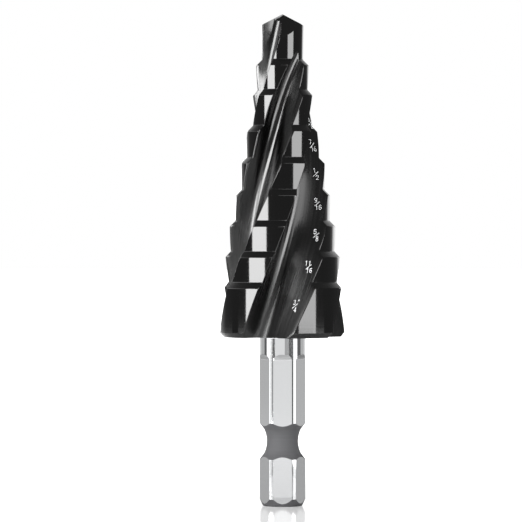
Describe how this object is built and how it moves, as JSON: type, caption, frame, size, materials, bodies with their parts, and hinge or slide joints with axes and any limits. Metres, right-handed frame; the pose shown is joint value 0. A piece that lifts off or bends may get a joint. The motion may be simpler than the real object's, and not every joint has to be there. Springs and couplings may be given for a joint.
{
  "type": "step drill",
  "caption": "Stepped conical drill bit with right-hand helical flutes, a split point and a hex quick-change shank with a detent groove.",
  "frame": {"origin": "centre of the flat end of the shank, on which the drill stands", "axes": "+Z along the drill's axis from the shank to the point, -Y towards the front view, with one shank flat facing it"},
  "size_m": [0.0188, 0.0188, 0.0739],
  "materials": {
    "tool_steel": "glossy black oxide on the cutter, bright ground steel on the shank"
  },
  "bodies": {
    "root": {"step_drill": "tool_steel"}
  },
  "joints": []
}
